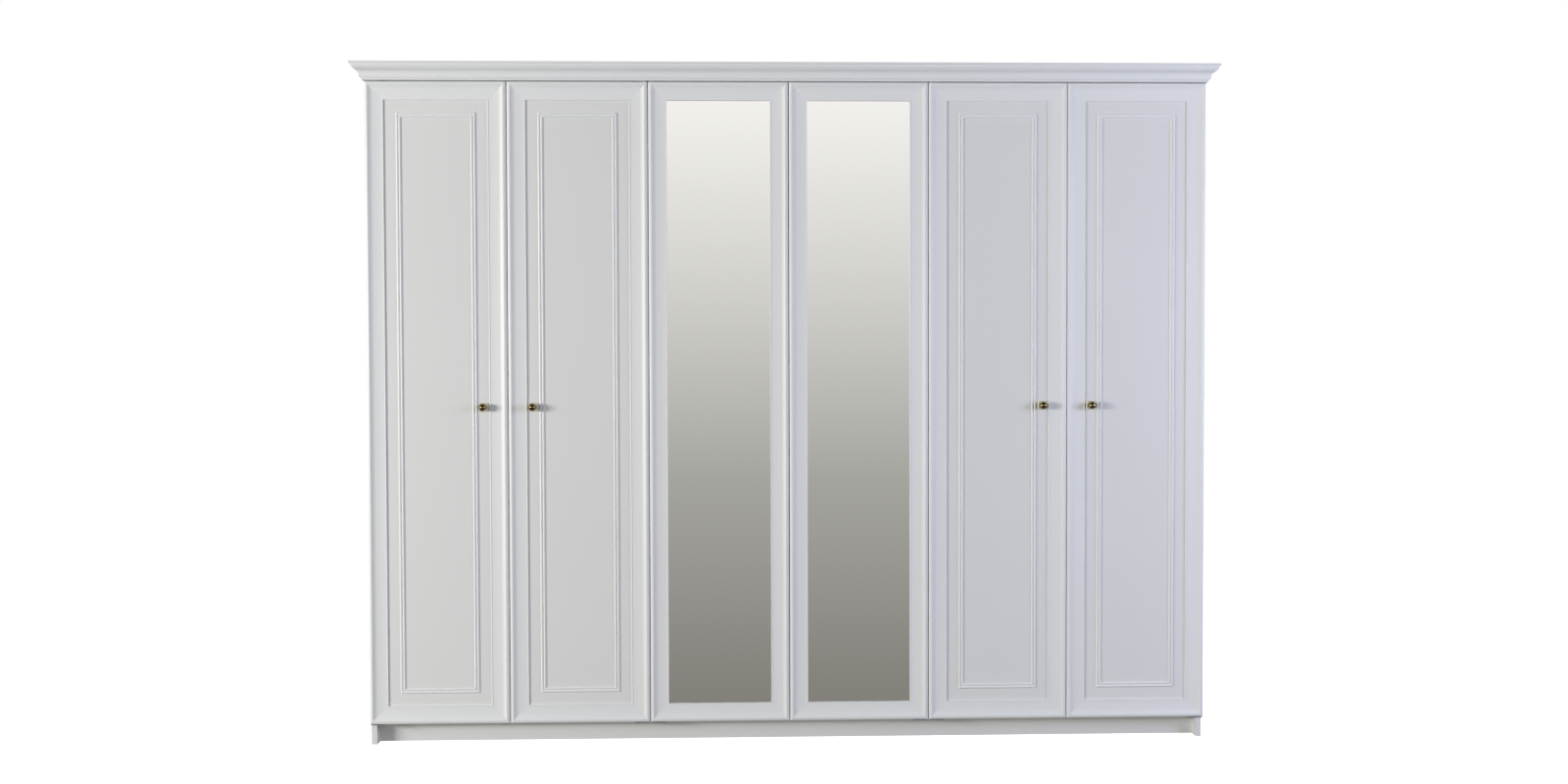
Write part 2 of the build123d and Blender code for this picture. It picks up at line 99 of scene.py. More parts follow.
def length_property(name, description, millimetres):
    return bpy.props.FloatProperty(
        name=name, description=description, unit="LENGTH", min=0.0, default=millimetres * MM
    )


class WardrobeColours(bpy.types.PropertyGroup):
    foil: colour_property("Foil", "Satin white foil of the frames and the cornice", "EFF0EF")
    panel_foil: colour_property("Panel foil", "Matt white foil of the door panels", "E9E9E7")
    melamine: colour_property("Melamine", "White melamine on the boards", "E8E8E6")
    hardboard: colour_property("Hardboard", "Brown rear face of the backs", "8A6745")
    silvering: colour_property("Silvering", "Mirror seen through its glass", "F9F8F4")
    glass_edge: colour_property("Glass edge", "Green tint of the mirror's cut edge", "7FA394")
    antique_brass: colour_property("Antique brass", "Polished metal of the knobs", "8B7B54")
    antique_patina: colour_property("Patina", "Brown lacquer left in the knobs' hollows", "3A2C16")
    pale_brass: colour_property("Pale brass", "Champagne lacquer of the knob plates", "E6DDC8")
    zinc: colour_property("Zinc", "Bright zinc on the steel fittings", "B9BDC2")
    chrome: colour_property("Chrome", "Chrome on the clothes rails", "D9DBDD")
    nylon: colour_property("Nylon", "Grey nylon of the catches", "A9AAA8")
    felt: colour_property("Felt", "White felt of the door buffers", "DAD8D2")


class WardrobeSizes(bpy.types.PropertyGroup):
    board_arris: length_property("Board arris", "Softening of the boards' edges", 0.8)
    fitting_arris: length_property("Fitting arris", "Softening of the fittings' edges", 0.3)
    screw_head: length_property("Screw head", "Diameter of the countersunk screw heads", 7.0)
    buffer: length_property("Buffer", "Diameter of the felt door buffers", 8.0)


class WardrobeStage(bpy.types.PropertyGroup):
    camera_distance: length_property("Camera distance", "From the lens to the door fronts", 4600)
    camera_side: bpy.props.FloatProperty(
        name="Camera side", description="Lens to the right of the middle", unit="LENGTH", default=-0.147
    )
    camera_height: length_property("Camera height", "Lens above the floor", 1249)
    camera_lens: bpy.props.FloatProperty(
        name="Lens", description="Focal length in millimetres", min=1.0, default=32.85
    )
    camera_drop: bpy.props.FloatProperty(
        name="Drop", description="How far the lens looks down", subtype="ANGLE", default=math.radians(1.42)
    )
    camera_turn: bpy.props.FloatProperty(
        name="Turn", description="How far the lens turns right", subtype="ANGLE", default=math.radians(1.63)
    )
    camera_roll: bpy.props.FloatProperty(
        name="Roll", description="How far the lens leans right", subtype="ANGLE", default=math.radians(0.15)
    )
    key_power: bpy.props.FloatProperty(
        name="Key power", description="Neutral light from the left, in watts", min=0.0, default=332.0
    )
    fill_power: bpy.props.FloatProperty(
        name="Fill power", description="Cool light from the right, in watts", min=0.0, default=67.0
    )
    back_power: bpy.props.FloatProperty(
        name="Back power", description="Light on the back of the wardrobe, in watts", min=0.0, default=90.0
    )


# ---------------------------------------------------------------- materials


def add_node(tree, kind, inputs=None, links=None, **settings):
    """One node, with its settings, its inputs' values and what they're linked from."""
    node = tree.nodes.new(kind)
    for key, value in settings.items():
        setattr(node, key, value)
    for socket, value in (inputs or {}).items():
        node.inputs[socket].default_value = value
    for socket, (source, output) in (links or {}).items():
        tree.links.new(source.outputs[output], node.inputs[socket])
    return node


def new_material(name, **constants):
    """A material, its tree and its shader, with the shader's own sockets set."""
    material = bpy.data.materials.new(name)
    material.use_nodes = True
    tree = material.node_tree
    shader = tree.nodes["Principled BSDF"]
    for socket, value in constants.items():
        shader.inputs[socket.replace("_", " ")].default_value = value
    return material, tree, shader


def opaque(colour, share=1.0):
    return (*[channel * share for channel in colour], 1.0)


def per_metre(millimetres):
    """The texture scale whose features are that many millimetres apart."""
    return 1.0 / (millimetres * MM)


def shade_between(tree, shader, factor, low, high):
    """Base colour running from one colour to another as a factor goes from 0 to 1."""
    mix = add_node(
        tree,
        "ShaderNodeMix",
        inputs={6: low, 7: high},
        links={0: factor},
        data_type="RGBA",
    )
    tree.links.new(mix.outputs[2], shader.inputs["Base Color"])


def vary_roughness(tree, shader, factor, low, high):
    spread = add_node(
        tree, "ShaderNodeMapRange", inputs={"To Min": low, "To Max": high}, links={"Value": factor}
    )
    tree.links.new(spread.outputs[0], shader.inputs["Roughness"])


def faces_forward(tree, place):
    """1 on the faces that look forward, and 0 on the rest."""
    split = add_node(tree, "ShaderNodeSeparateXYZ", links={0: (place, "Normal")})
    return add_node(
        tree, "ShaderNodeMath", inputs={1: -0.5}, links={0: (split, "Y")}, operation="LESS_THAN"
    )


def raise_bump(tree, shader, height, depth_mm, strength=1.0):
    bump = add_node(
        tree,
        "ShaderNodeBump",
        inputs={"Strength": strength, "Distance": depth_mm * MM},
        links={"Height": height},
    )
    tree.links.new(bump.outputs[0], shader.inputs["Normal"])


def pressed_foil(name, colour, low_roughness, high_roughness):
    """PVC foil pressed on MDF, with drifts of tone where it stretched and faint orange peel."""
    material, tree, shader = new_material(name, IOR=1.5)
    place = add_node(tree, "ShaderNodeTexCoord")
    drift = add_node(
        tree,
        "ShaderNodeTexNoise",
        inputs={"Scale": per_metre(420), "Detail": 2.0},
        links={"Vector": (place, "Object")},
    )
    peel = add_node(
        tree,
        "ShaderNodeTexNoise",
        inputs={"Scale": per_metre(6), "Detail": 3.0},
        links={"Vector": (place, "Object")},
    )
    shade_between(tree, shader, (drift, 0), opaque(colour, 0.97), opaque(colour))
    vary_roughness(tree, shader, (peel, 0), low_roughness, high_roughness)
    raise_bump(tree, shader, (peel, 0), 0.03)
    return material


def satin_foil_mdf(colours):
    # Profile bars wrapped in satin foil: the whitest surfaces, with a soft shine that picks out
    # every crest, step and lip of the mouldings.
    return pressed_foil("satin_foil_mdf", colours.foil, 0.42, 0.5)


def matt_foil_mdf(colours):
    # Flat panels vacuum-pressed in a matt foil: a shade greyer than the frames, and broad, dry
    # reflections that never show an edge.
    return pressed_foil("matt_foil_mdf", colours.panel_foil, 0.55, 0.65)


def melamine_faced_chipboard(colours):
    # Melamine paper pressed on chipboard: a drier sheen than foil, with the fine pearl
    # texture of the press plate. The pearl is drawn 3 mm wide so that it shows.
    material, tree, shader = new_material("melamine_faced_chipboard", IOR=1.5)
    place = add_node(tree, "ShaderNodeTexCoord")
    pearl = add_node(
        tree,
        "ShaderNodeTexVoronoi",
        inputs={"Scale": per_metre(3)},
        links={"Vector": (place, "Object")},
        feature="SMOOTH_F1",
    )
    drift = add_node(
        tree,
        "ShaderNodeTexNoise",
        inputs={"Scale": per_metre(300), "Detail": 2.0},
        links={"Vector": (place, "Object")},
    )
    shade_between(tree, shader, (drift, 0), opaque(colours.melamine, 0.96), opaque(colours.melamine))
    vary_roughness(tree, shader, (pearl, 0), 0.42, 0.55)
    raise_bump(tree, shader, (pearl, 0), 0.04)
    return material


def lacquered_hardboard(colours):
    # Wet-formed hardboard, painted white on the face that looks forward and left brown behind,
    # where the wire screen that it was pressed on leaves a fine grid among the fibres.
    material, tree, shader = new_material("lacquered_hardboard", IOR=1.45)
    place = add_node(tree, "ShaderNodeTexCoord")
    painted = faces_forward(tree, place)
    fibre = add_node(
        tree,
        "ShaderNodeTexNoise",
        inputs={"Scale": per_metre(9), "Detail": 6.0, "Roughness": 0.7},
        links={"Vector": (place, "Object")},
    )
    brown = add_node(
        tree,
        "ShaderNodeMix",
        inputs={6: opaque(colours.hardboard, 0.7), 7: opaque(colours.hardboard, 1.15)},
        links={0: (fibre, 0)},
        data_type="RGBA",
    )
    face = add_node(
        tree,
        "ShaderNodeMix",
        inputs={7: opaque(colours.melamine)},
        links={0: (painted, 0), 6: (brown, 2)},
        data_type="RGBA",
    )
    tree.links.new(face.outputs[2], shader.inputs["Base Color"])
    screen = add_node(
        tree,
        "ShaderNodeTexWave",
        inputs={"Scale": per_metre(4) / 2, "Distortion": 0.6},
        links={"Vector": (place, "Object")},
        bands_direction="DIAGONAL",
    )
    vary_roughness(tree, shader, (fibre, 0), 0.55, 0.8)
    raise_bump(tree, shader, (screen, 1), 0.06, 0.5)
    return material


def silvered_float_glass(colours):
    # Float glass silvered on its back: a clean reflection with a slight green-grey cast, and a
    # green cut edge. The roughness is only the trace of haze that a wiped mirror keeps.
    material, tree, shader = new_material("silvered_float_glass", Metallic=1.0)
    place = add_node(tree, "ShaderNodeTexCoord")
    silvered = faces_forward(tree, place)
    wiped = add_node(
        tree,
        "ShaderNodeTexNoise",
        inputs={"Scale": per_metre(140), "Detail": 2.0},
        links={"Vector": (place, "Object")},
    )
    shade_between(
        tree, shader, (silvered, 0), opaque(colours.glass_edge), opaque(colours.silvering)
    )
    vary_roughness(tree, shader, (wiped, 0), 0.006, 0.016)
    return material


def polished_antique_brass(colours):
    # Cast brass, browned, polished back and lacquered: a bright ball with brown left in the
    # hollows near its neck, and hairline polishing marks.
    material, tree, shader = new_material("polished_antique_brass", Metallic=1.0)
    place = add_node(tree, "ShaderNodeTexCoord")
    cloud = add_node(
        tree,
        "ShaderNodeTexNoise",
        inputs={"Scale": per_metre(7), "Detail": 4.0},
        links={"Vector": (place, "Object")},
    )
    hairline = add_node(
        tree,
        "ShaderNodeTexNoise",
        inputs={"Scale": per_metre(0.8), "Detail": 5.0},
        links={"Vector": (place, "Object")},
    )
    worn = add_node(tree, "ShaderNodeNewGeometry")
    hollow = add_node(
        tree,
        "ShaderNodeMapRange",
        inputs={"From Min": 0.42, "From Max": 0.52},
        links={"Value": (worn, "Pointiness")},
    )
    kept = add_node(
        tree, "ShaderNodeMath", links={0: (cloud, 0), 1: (hollow, 0)}, operation="MULTIPLY"
    )
    spread = add_node(
        tree,
        "ShaderNodeMapRange",
        inputs={"From Min": 0.1, "From Max": 0.5},
        links={"Value": (kept, 0)},
    )
    shade_between(
        tree, shader, (spread, 0), opaque(colours.antique_patina), opaque(colours.antique_brass)
    )
    vary_roughness(tree, shader, (hairline, 0), 0.07, 0.14)
    return material


def champagne_lacquered_brass(colours):
    # Rolled brass, scratch-brushed along its grain under a pale pearly lacquer. Most of the light
    # comes off the lacquer, so the plate stays pale, and the brushing shows as a streaky sheen.
    material, tree, shader = new_material("champagne_lacquered_brass", Metallic=0.35)
    place = add_node(tree, "ShaderNodeTexCoord")
    along = add_node(
        tree, "ShaderNodeMapping", inputs={"Scale": (1.0, 1.0, 0.06)}, links={"Vector": (place, "Object")}
    )
    brushed = add_node(
        tree,
        "ShaderNodeTexNoise",
        inputs={"Scale": per_metre(0.5), "Detail": 3.0},
        links={"Vector": (along, 0)},
    )
    shade_between(
        tree, shader, (brushed, 0), opaque(colours.pale_brass, 0.85), opaque(colours.pale_brass)
    )
    vary_roughness(tree, shader, (brushed, 0), 0.24, 0.36)
    raise_bump(tree, shader, (brushed, 0), 0.01)
    return material


def zinc_plated_steel(colours):
    # Pressed steel, bright zinc plated: bluish grey with soft spangled patches.
    material, tree, shader = new_material("zinc_plated_steel", Metallic=1.0)
    place = add_node(tree, "ShaderNodeTexCoord")
    patch = add_node(
        tree,
        "ShaderNodeTexVoronoi",
        inputs={"Scale": per_metre(5)},
        links={"Vector": (place, "Object")},
    )
    shade_between(tree, shader, (patch, 0), opaque(colours.zinc, 0.88), opaque(colours.zinc))
    vary_roughness(tree, shader, (patch, 0), 0.25, 0.4)
    return material


def chromed_steel_tube(colours):
    # Drawn steel tube, chrome plated: nearly a mirror, with faint draw lines along the tube.
    material, tree, shader = new_material("chromed_steel_tube", Metallic=1.0)
    place = add_node(tree, "ShaderNodeTexCoord")
    along = add_node(
        tree, "ShaderNodeMapping", inputs={"Scale": (0.02, 1.0, 1.0)}, links={"Vector": (place, "Object")}
    )
    drawn = add_node(
        tree,
        "ShaderNodeTexNoise",
        inputs={"Scale": per_metre(0.6), "Detail": 2.0},
        links={"Vector": (along, 0)},
    )
    shade_between(tree, shader, (drawn, 0), opaque(colours.chrome, 0.94), opaque(colours.chrome))
    vary_roughness(tree, shader, (drawn, 0), 0.05, 0.11)
    return material


def moulded_nylon(colours):
    # Injection-moulded nylon: matt and slightly waxy, with the spark-eroded grain of its mould.
    material, tree, shader = new_material("moulded_nylon", IOR=1.53)
    place = add_node(tree, "ShaderNodeTexCoord")
    grain = add_node(
        tree,
        "ShaderNodeTexNoise",
        inputs={"Scale": per_metre(0.7), "Detail": 3.0},
        links={"Vector": (place, "Object")},
    )
    shade_between(tree, shader, (grain, 0), opaque(colours.nylon, 0.92), opaque(colours.nylon))
    vary_roughness(tree, shader, (grain, 0), 0.45, 0.6)
    raise_bump(tree, shader, (grain, 0), 0.02)
    return material


def pressed_felt(colours):
    # Pressed wool felt: no shine, with matted fibres that catch light at the rim.
    material, tree, shader = new_material("pressed_felt", IOR=1.4, Sheen_Weight=0.4)
    place = add_node(tree, "ShaderNodeTexCoord")
    fibre = add_node(
        tree,
        "ShaderNodeTexNoise",
        inputs={"Scale": per_metre(0.6), "Detail": 5.0},
        links={"Vector": (place, "Object")},
    )
    shade_between(tree, shader, (fibre, 0), opaque(colours.felt, 0.85), opaque(colours.felt))
    vary_roughness(tree, shader, (fibre, 0), 0.85, 0.98)
    raise_bump(tree, shader, (fibre, 0), 0.15)
    return material


def finish(name, maker):
    """A material by name, made the first time that it's asked for."""
    found = bpy.data.materials.get(name)
    return found or maker(bpy.context.scene.wardrobe_colours)


def paint(node_name, material):
    """Gives a CAD node, or a piece, its one material."""
    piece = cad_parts.get(node_name) or bpy.data.objects[node_name]
    piece.data.materials.clear()
    piece.data.materials.append(material)
    return piece


def soften(piece, width):
    """Rounds a piece's sharp edges with a modifier, which leaves its mesh as it is."""
    bevel = piece.modifiers.new("arris", "BEVEL")
    bevel.width = width
    bevel.segments = 2
    bevel.limit_method = "ANGLE"
    bevel.angle_limit = math.radians(40)


# ---------------------------------------------------------------- mesh helpers


def to_piece(name, mesh_data, material, body, replaced=()):
    """Turns a bmesh into a finished piece that rides on a body."""
    bmesh.ops.remove_doubles(mesh_data, verts=mesh_data.verts, dist=0.00001)
    bmesh.ops.recalc_face_normals(mesh_data, faces=mesh_data.faces)
    mesh = bpy.data.meshes.new(name)
    mesh_data.to_mesh(mesh)
    mesh_data.free()
    mesh.shade_smooth()
    mesh.set_sharp_from_angle(angle=math.radians(32))
    mesh.materials.append(material)
    piece = bpy.data.objects.new(name, mesh)
    bpy.context.scene.collection.objects.link(piece)
    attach(piece, body)
    if replaced:
        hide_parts(*replaced)
    return piece


def arc_points(start, end, rise, steps=10):
    """Points from start to end on an arc that rises to the left of its chord by that much."""
    start, end = Vector(start), Vector(end)
    chord = end - start
    half = chord.length / 2
    radius = (half**2 + rise**2) / (2 * abs(rise))
    left = Vector((-chord.y, chord.x)).normalized() * math.copysign(1, rise)
    centre = (start + end) / 2 + left * (abs(rise) - radius)
    first, last = start - centre, end - centre
    turn = first.angle_signed(last)
    points = []
    for step in range(steps + 1):
        angle = -turn * step / steps
        points.append(centre + Matrix.Rotation(angle, 2) @ first)
    return points


def rounded(points, radii, steps=4):
    """A closed outline with each listed corner rounded to its radius."""
    outline = []
    count = len(points)
    for i, point in enumerate(points):
        radius = radii.get(i, 0)
        corner = Vector(point)
        if not radius:
            outline.append(corner)
            continue
        before = (Vector(points[i - 1]) - corner).normalized()
        after = (Vector(points[(i + 1) % count]) - corner).normalized()
        half_angle = before.angle(after) / 2
        reach = radius / math.tan(half_angle)
        start, end = corner + before * reach, corner + after * reach
        centre = corner + (before + after).normalized() * (radius / math.sin(half_angle))
        first, last = start - centre, end - centre
        turn = first.angle_signed(last)
        outline += [
            centre + Matrix.Rotation(-turn * step / steps, 2) @ first for step in range(steps + 1)
        ]
    return outline


def moulded_bar(mesh_data, outline, corner, along, inward, length, mitres=(True, True)):
    """Adds a bar with that outline, whose ends are mitred at 45 degrees or square.

    The outline's X runs inward from the corner and its Y runs up from the bar's seat.
    """
    corner, along, inward = Vector(corner), Vector(along), Vector(inward)
    up = along.cross(inward)
    ends = []
    for start, sign, mitred in ((0.0, 1, mitres[0]), (length, -1, mitres[1])):
        ring = []
        for point in outline:
            shift = sign * point.x if mitred else 0.0
            place = corner + along * (start + shift) + inward * point.x + up * point.y
            ring.append(mesh_data.verts.new(place))
        ends.append(ring)
    count = len(outline)
    for i in range(count):
        j = (i + 1) % count
        mesh_data.faces.new((ends[0][i], ends[0][j], ends[1][j], ends[1][i]))
    mesh_data.faces.new(ends[0])
    mesh_data.faces.new(ends[1][::-1])


def moulded_rectangle(mesh_data, outline, low, high, seat_y):
    """Adds four mitred bars round a rectangle that stands in the door's plane."""
    (x0, z0), (x1, z1) = low, high
    width, height = x1 - x0, z1 - z0
    moulded_bar(mesh_data, outline, (x0, seat_y, z0), (1, 0, 0), (0, 0, 1), width)
    moulded_bar(mesh_data, outline, (x1, seat_y, z0), (0, 0, 1), (-1, 0, 0), height)
    moulded_bar(mesh_data, outline, (x1, seat_y, z1), (-1, 0, 0), (0, 0, -1), width)
    moulded_bar(mesh_data, outline, (x0, seat_y, z1), (0, 0, -1), (1, 0, 0), height)


def turned_form(mesh_data, outline, centre, axis, segments=64):
    """Adds a turned solid. The outline runs from axis to axis as radius and distance along it."""
    centre, axis = Vector(centre), Vector(axis).normalized()
    side = axis.orthogonal().normalized()
    other = axis.cross(side)
    rings = []
    for radius, along in outline:
        if radius < 1e-9:
            rings.append([mesh_data.verts.new(centre + axis * along)])
            continue
        ring = []
        for step in range(segments):
            angle = 2 * math.pi * step / segments
            spoke = side * math.cos(angle) + other * math.sin(angle)
            ring.append(mesh_data.verts.new(centre + axis * along + spoke * radius))
        rings.append(ring)
    for first, second in zip(rings, rings[1:]):
        for step in range(segments):
            nxt = (step + 1) % segments
            corners = [first[step % len(first)], first[nxt % len(first)]]
            corners += [second[nxt % len(second)], second[step % len(second)]]
            unique = list(dict.fromkeys(corners))
            if len(unique) > 2:
                mesh_data.faces.new(unique)


def cross_head_screw(mesh_data, centre, axis, diameter, depth):
    """Adds a countersunk screw head with a sunk cross, its face at the centre, looking along axis."""
    centre, axis = Vector(centre), Vector(axis).normalized()
    side = axis.orthogonal().normalized()
    other = axis.cross(side)
    radius = diameter / 2
    rim_steps = 28
    slot_half, slot_reach, slot_depth = radius * 0.14, radius * 0.58, radius * 0.4
    crown = radius * 0.06
    foot_share, slot_floor_share = 0.5, 0.8

    def at(u, v, w):
        return mesh_data.verts.new(centre + side * u + other * v + axis * w)

    def ring_edges(ring):
        return [mesh_data.edges.new((ring[i - 1], ring[i])) for i in range(len(ring))]

    angles = [2 * math.pi * i / rim_steps for i in range(rim_steps)]
    rim = [at(radius * math.cos(a), radius * math.sin(a), 0.0) for a in angles]
    foot_radius = radius * foot_share
    foot = [at(foot_radius * math.cos(a), foot_radius * math.sin(a), -depth) for a in angles]
    arm = [(slot_reach, -slot_half), (slot_reach, slot_half), (slot_half, slot_half)]
    cross = [(u * c - v * s, u * s + v * c) for c, s in ((1, 0), (0, 1), (-1, 0), (0, -1)) for u, v in arm]
    mouth = [at(u, v, crown) for u, v in cross]
    floor = [at(u * slot_floor_share, v * slot_floor_share, -slot_depth) for u, v in cross]
    bmesh.ops.triangle_fill(mesh_data, use_beauty=True, edges=ring_edges(rim) + ring_edges(mouth))
    for upper, lower in ((rim, foot), (mouth, floor)):
        for i in range(len(upper)):
            mesh_data.faces.new((upper[i - 1], upper[i], lower[i], lower[i - 1]))
    mesh_data.faces.new(floor)
    mesh_data.faces.new(foot)


# ---------------------------------------------------------------- moulding outlines, in mm


def scaled(points):
    return [Vector(point) * MM for point in points]


def door_bar_outline():
    """Round crest, cove, long hollow slope, small lip and rear rebate."""
    crest = arc_points((0, 19), (9, 22), 0.64)
    shoulder = arc_points((9, 22), (11, 21.1), 0.2, 4)
    cove = arc_points((11, 21.1), (21.5, 16.6), -0.4)
    slope = arc_points((21.5, 16.6), (50, 14.5), -0.5, 12)
    front = [(0, 0), *crest, *shoulder[1:], *cove[1:], *slope[1:], (54.5, 14.5), (55.1, 15.4)]
    inner = [(57.4, 15.4), (58, 14.8), (58, 11), (48, 11), (48, 0)]
    edge_break, lip_break = 1.2, 0.4
    lip_top = len(front) - 1
    radii = {1: edge_break, lip_top: lip_break, lip_top + 1: lip_break}
    return scaled(rounded(front + inner, radii))


def bead_outline():
    """Two round beads side by side on a thin base."""
    first = arc_points((0, 1.2), (7.2, 1.2), 2.6)
    second = arc_points((8.8, 1.2), (16, 1.2), 2.6)
    return scaled([(16, 0), (0, 0), *first, *second][::-1])


def cornice_outline():
    """Fascia, ovolo, cove and base moulding, with the foot that rests on the carcass."""
    base = arc_points((-4, 2.5), (-8, 6.5), -1.0)
    cove = arc_points((-11.5, 12.5), (-18.5, 29), -2.0, 14)
    ovolo = arc_points((-20, 29), (-33, 48), 3.0, 14)
    front = [(-4, 0), *base, (-8, 10.5), (-11.5, 10.5), *cove, *ovolo, (-37, 48), (-37, 54)]
    rear = [(6.5, 54), (6.5, 16), (45, 16), (45, 0)]
    fascia_break = 0.9
    fascia_foot = len(front) - 2
    radii = {fascia_foot: fascia_break, fascia_foot + 1: fascia_break}
    return scaled(rounded(front + rear, radii)[::-1])


def knob_outline(ball, front, nut_end):
    """Ball, collar, neck, flared foot, stud and nut, as radius and distance before the plate's face."""
    neck, collar, flare, stud = 4.5 * MM, 5.2 * MM, 6.0 * MM, 2.0 * MM
    nut, nut_thickness = 4.0 * MM, 2.5 * MM
    ball_centre = front - ball
    join = ball_centre - math.sqrt(ball**2 - neck**2)
    sweep = math.pi - math.asin(neck / ball)
    steps = 30
    outline = [(0.0, front)]
    for step in range(1, steps + 1):
        angle = sweep * step / steps
        outline.append((ball * math.sin(angle), ball_centre + ball * math.cos(angle)))
    # A small collar where the ball meets its neck, then the flared foot.
    outline += [
        (collar, join - 0.4 * MM),
        (collar + 0.25 * MM, join - 1.0 * MM),
        (collar, join - 1.6 * MM),
        (neck * 0.92, join - 2.0 * MM),
        (neck * 0.9, 3.2 * MM),
        (neck, 2.0 * MM),
        (flare * 0.9, 0.9 * MM),
        (flare, 0.5 * MM),
        (flare, 0.0),
    ]
    # The stud runs back through plate and panel to its nut.
    nut_start = nut_end + nut_thickness
    outline += [(stud, 0.0), (stud, nut_start), (nut, nut_start), (nut, nut_end + 0.8 * MM)]
    return outline + [(3.2 * MM, nut_end + 0.1 * MM), (0.0, nut_end)]


# ---------------------------------------------------------------- operators


def door_plane(number):
    """A door's lower left and upper right corners in its own plane, and the Y of its back."""
    low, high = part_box(f"door_{number}_frame")
    return (low.x, low.z), (high.x, high.z), high.y


class WARDROBE_OT_door_frames(bpy.types.Operator):
    """Builds the six mitred door frames from their moulding"""

    bl_idname = "wardrobe.door_frames"
    bl_label = "Door Frames"

    def execute(self, context):
        material = finish("satin_foil_mdf", satin_foil_mdf)
        outline = door_bar_outline()
        for number in ALL_DOORS:
            low, high, back_y = door_plane(number)
            bars = bmesh.new()
            moulded_rectangle(bars, outline, low, high, back_y)
            to_piece(
                f"door_{number}_moulded_frame",
                bars,
                material,
                f"door_{number}",
                [f"door_{number}_frame"],
            )
        return {"FINISHED"}


class WARDROBE_OT_door_panels(bpy.types.Operator):
    """Finishes the four flat panels and builds the double beads planted on them"""

    bl_idname = "wardrobe.door_panels"
    bl_label = "Door Panels and Beads"

    def execute(self, context):
        panel_finish = finish("matt_foil_mdf", matt_foil_mdf)
        material = finish("satin_foil_mdf", satin_foil_mdf)
        outline = bead_outline()
        for number in PANELLED_DOORS:
            paint(f"door_{number}_panel", panel_finish)
            low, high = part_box(f"door_{number}_bead")
            panel_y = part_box(f"door_{number}_panel")[0].y
            beads = bmesh.new()
            moulded_rectangle(beads, outline, (low.x, low.z), (high.x, high.z), panel_y)
            to_piece(
                f"door_{number}_double_bead",
                beads,
                material,
                f"door_{number}",
                [f"door_{number}_bead"],
            )
        return {"FINISHED"}


class WARDROBE_OT_mirrors(bpy.types.Operator):
    """Silvers the two mirrors and finishes the boards behind them"""

    bl_idname = "wardrobe.mirrors"
    bl_label = "Mirrors"

    def execute(self, context):
        glass = finish("silvered_float_glass", silvered_float_glass)
        backing = finish("lacquered_hardboard", lacquered_hardboard)
        for number in MIRROR_DOORS:
            paint(f"door_{number}_mirror", glass)
            paint(f"door_{number}_mirror_backing", backing)
        return {"FINISHED"}


class WARDROBE_OT_cornice(bpy.types.Operator):
    """Builds the cornice's front and its two mitred returns"""

    bl_idname = "wardrobe.cornice"
    bl_label = "Cornice"

    def execute(self, context):
        material = finish("satin_foil_mdf", satin_foil_mdf)
        outline = cornice_outline()
        left_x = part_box("left_cabinet_left_side")[0].x
        right_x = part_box("right_cabinet_right_side")[1].x
        front_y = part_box("door_1_frame")[0].y
        seat_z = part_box("cornice_front")[0].z
        back_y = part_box("cornice_left_return")[1].y
        depth = back_y - front_y
        bars = {
            "front": ((left_x, front_y, seat_z), (1, 0, 0), (0, 1, 0), right_x - left_x, (True, True)),
            "left_return": ((left_x, back_y, seat_z), (0, -1, 0), (1, 0, 0), depth, (False, True)),
            "right_return": ((right_x, front_y, seat_z), (0, 1, 0), (-1, 0, 0), depth, (True, False)),
        }
        for name, (corner, along, inward, length, mitres) in bars.items():
            bar = bmesh.new()
            moulded_bar(bar, outline, corner, along, inward, length, mitres)
            to_piece(
                f"crown_moulding_{name}", bar, material, "carcass", [f"cornice_{name}"]
            )
        return {"FINISHED"}


class WARDROBE_OT_knobs(bpy.types.Operator):
    """Turns the four ball knobs and finishes their square plates"""

    bl_idname = "wardrobe.knobs"
    bl_label = "Knobs"

    def execute(self, context):
        brass = finish("polished_antique_brass", polished_antique_brass)
        plate_finish = finish("champagne_lacquered_brass", champagne_lacquered_brass)
        arris = context.scene.wardrobe_sizes.fitting_arris
        for number in PANELLED_DOORS:
            low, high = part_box(f"door_{number}_knob")
            plate_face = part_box(f"door_{number}_knob_plate")[0].y
            centre = (low + high) / 2
            ball = (high.z - low.z) / 2
            outline = knob_outline(ball, plate_face - low.y, plate_face - high.y)
            knob = bmesh.new()
            turned_form(knob, outline, (centre.x, plate_face, centre.z), (0, -1, 0))
            to_piece(
                f"door_{number}_turned_knob",
                knob,
                brass,
                f"door_{number}",
                [f"door_{number}_knob"],
            )
            soften(paint(f"door_{number}_knob_plate", plate_finish), arris)
        return {"FINISHED"}


class WARDROBE_OT_boards(bpy.types.Operator):
    """Finishes the melamine boards of the carcass, the plinth and the shelves"""

    bl_idname = "wardrobe.boards"
    bl_label = "Boards"

    def execute(self, context):
        material = finish("melamine_faced_chipboard", melamine_faced_chipboard)
        boards = ["plinth_board", "hat_shelves", "middle_shelves"]
        boards += [
            f"{cabinet}_cabinet_{board}"
            for cabinet in CABINETS
            for board in ("left_side", "right_side", "top", "bottom")
        ]
        for name in boards:
            soften(paint(name, material), context.scene.wardrobe_sizes.board_arris)
        return {"FINISHED"}


class WARDROBE_OT_backs(bpy.types.Operator):
    """Finishes the hardboard backs of the three cabinets"""

    bl_idname = "wardrobe.backs"
    bl_label = "Backs"

    def execute(self, context):
        for cabinet in CABINETS:
            paint(f"{cabinet}_cabinet_back", finish("lacquered_hardboard", lacquered_hardboard))
        return {"FINISHED"}


